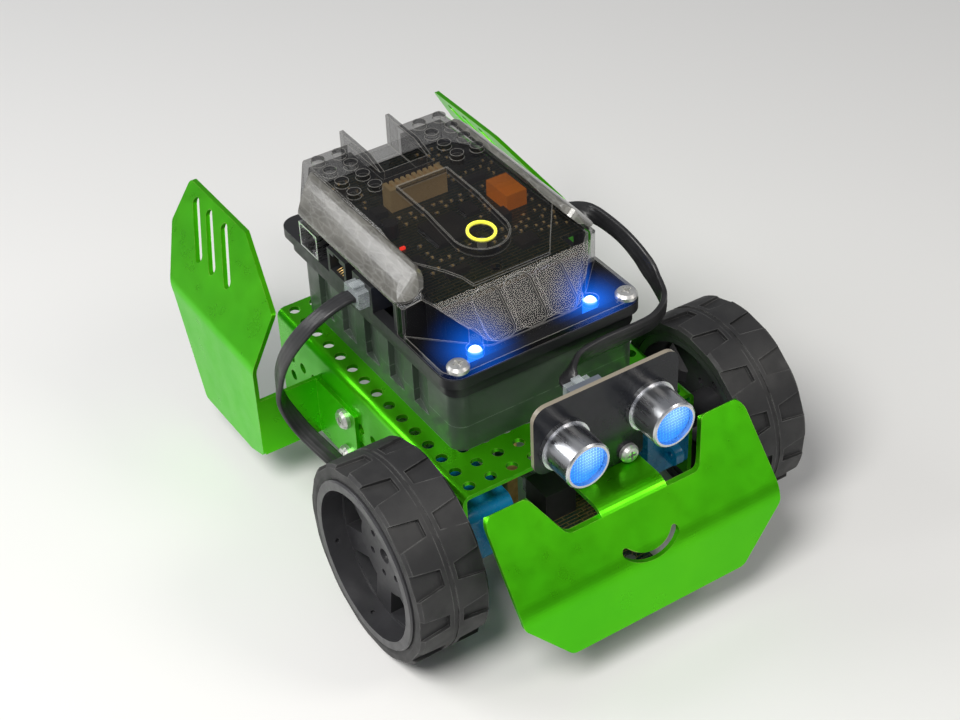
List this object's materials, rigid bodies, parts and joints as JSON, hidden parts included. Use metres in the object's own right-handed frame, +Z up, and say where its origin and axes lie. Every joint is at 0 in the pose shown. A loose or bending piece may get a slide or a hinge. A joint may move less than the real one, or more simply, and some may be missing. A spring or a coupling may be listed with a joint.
{
  "type": "two-wheel educational robot",
  "caption": "Educational wheeled robot with a drilled bent-metal chassis, smiling bumper, distance sensor, smoked controller, battery box, geared motors, rear wings and ball caster.",
  "frame": {"origin": "on the floor, under the middle of the outline seen from above", "axes": "+Z up, +Y towards the rear, +X to the right when seen from behind the bumper looking back, so the bumper faces -Y"},
  "size_m": [0.152, 0.2089, 0.1097],
  "materials": {
    "green_metal": "satin, fine bead-blasted anodising",
    "screw_steel": "satin nickel plate",
    "brass": "satin",
    "black_board": "gloss solder mask",
    "can_aluminium": "brushed",
    "lit_mesh": "woven mesh lit blue from behind",
    "grey_plastic": "matte",
    "clear_plastic": "clear, gloss",
    "black_lead": "satin vinyl",
    "green_board": "gloss solder mask",
    "black_plastic": "fine matte",
    "white_plastic": "satin",
    "frosted_plastic": "frosted, translucent",
    "cell_wrap": "gloss wrap",
    "spring_steel": "plated",
    "board_parts": "mixed small parts",
    "orange_plastic": "gloss",
    "gold_header": "matte",
    "smoked_cover": "smoked clear, gloss",
    "light_diffuser": "clear ribbed",
    "yellow_ring": "lit yellow",
    "blue_lamp": "lit blue",
    "red_lamp": "lit red",
    "blue_plastic": "satin",
    "copper_rotor": "wound copper and steel",
    "rim_plastic": "satin moulded",
    "tyre_rubber": "matte rubber",
    "ball_steel": "polished"
  },
  "bodies": {
    "chassis": {"chassis_plate": "green_metal", "front_bumper": "green_metal", "sensor_bracket": "green_metal", "left_wing": "green_metal", "right_wing": "green_metal", "frame_screws": "screw_steel", "motor_bolts": "screw_steel", "spacers": "brass", "sensor_board": "black_board", "sensor_screws": "screw_steel", "transducer_cans": "can_aluminium", "transducer_meshes": "lit_mesh", "sensor_socket": "grey_plastic", "sensor_plugs": "clear_plastic", "sensor_cable": "black_lead", "line_board": "green_board", "line_sensors": "black_plastic", "line_socket": "black_plastic", "line_plugs": "clear_plastic", "line_cable": "black_lead", "battery_tray": "frosted_plastic", "battery_cover": "frosted_plastic", "battery_cells": "cell_wrap", "battery_contacts": "spring_steel", "controller_base": "black_plastic", "controller_board": "green_board", "board_parts": "board_parts", "side_sockets": "black_plastic", "usb_socket": "spring_steel", "power_block": "orange_plastic", "module_connector": "gold_header", "controller_cover": "smoked_cover", "light_bars": "light_diffuser", "front_lamps": "blue_lamp", "status_lamps": "red_lamp", "controller_screws": "screw_steel", "slide_switch": "black_plastic", "left_gearbox": "blue_plastic", "right_gearbox": "blue_plastic", "left_motor": "spring_steel", "right_motor": "spring_steel", "caster_housing": "black_plastic"},
    "left_wheel": {"left_rim": "rim_plastic", "left_tyre": "tyre_rubber", "left_output_shaft": "white_plastic", "left_axle_screw": "screw_steel"},
    "right_wheel": {"right_rim": "rim_plastic", "right_tyre": "tyre_rubber", "right_output_shaft": "white_plastic", "right_axle_screw": "screw_steel"},
    "left_reduction": {"left_reduction_gear": "white_plastic"},
    "right_reduction": {"right_reduction_gear": "white_plastic"},
    "left_motor_rotor": {"left_rotor": "copper_rotor"},
    "right_motor_rotor": {"right_rotor": "copper_rotor"},
    "roller": {"caster_ball": "ball_steel"},
    "top_button": {"button_tongue": "smoked_cover", "button_ring": "yellow_ring"},
    "plunger": {"switch_plunger": "white_plastic"},
    "power_slider": {"slide_knob": "white_plastic"}
  },
  "joints": [
    {"name": "left_wheel_spin", "type": "hinge", "parent": "chassis", "child": "left_wheel", "pos_m": [-0.051, -0.051, 0.034], "axis": [1, 0, 0], "continuous": true},
    {"name": "right_wheel_spin", "type": "hinge", "parent": "chassis", "child": "right_wheel", "pos_m": [0.051, -0.051, 0.034], "axis": [1, 0, 0], "continuous": true},
    {"name": "left_reduction_spin", "type": "hinge", "parent": "chassis", "child": "left_reduction", "pos_m": [-0.035, -0.03885, 0.034], "axis": [1, 0, 0], "continuous": true},
    {"name": "right_reduction_spin", "type": "hinge", "parent": "chassis", "child": "right_reduction", "pos_m": [0.035, -0.03885, 0.034], "axis": [1, 0, 0], "continuous": true},
    {"name": "left_rotor_spin", "type": "hinge", "parent": "chassis", "child": "left_motor_rotor", "pos_m": [-0.035, -0.02, 0.034], "axis": [0, 1, 0], "continuous": true},
    {"name": "right_rotor_spin", "type": "hinge", "parent": "chassis", "child": "right_motor_rotor", "pos_m": [0.035, -0.02, 0.034], "axis": [0, 1, 0], "continuous": true},
    {"name": "caster_roll", "type": "hinge", "parent": "chassis", "child": "roller", "pos_m": [0, 0.038, 0.008], "axis": [1, 0, 0], "continuous": true},
    {"name": "button_press", "type": "hinge", "parent": "chassis", "child": "top_button", "pos_m": [0, 0.029, 0.106], "axis": [1, 0, 0], "range_deg": [0, 1.2], "stiffness_Nm_per_rad": 0.6},
    {"name": "plunger_press", "type": "slide", "parent": "chassis", "child": "plunger", "axis": [0, 0, -1], "range_m": [0, 0.001]},
    {"name": "power_slide", "type": "slide", "parent": "chassis", "child": "power_slider", "axis": [0, 1, 0], "range_m": [0, 0.002]}
  ],
  "couplings": [
    {"joint": "left_reduction_spin", "follows": "left_wheel_spin", "ratio": -3},
    {"joint": "right_reduction_spin", "follows": "right_wheel_spin", "ratio": -3},
    {"joint": "left_rotor_spin", "follows": "left_wheel_spin", "ratio": 11.25},
    {"joint": "right_rotor_spin", "follows": "right_wheel_spin", "ratio": -11.25},
    {"joint": "plunger_press", "follows": "button_press", "m_per_rad": 0.0362}
  ]
}
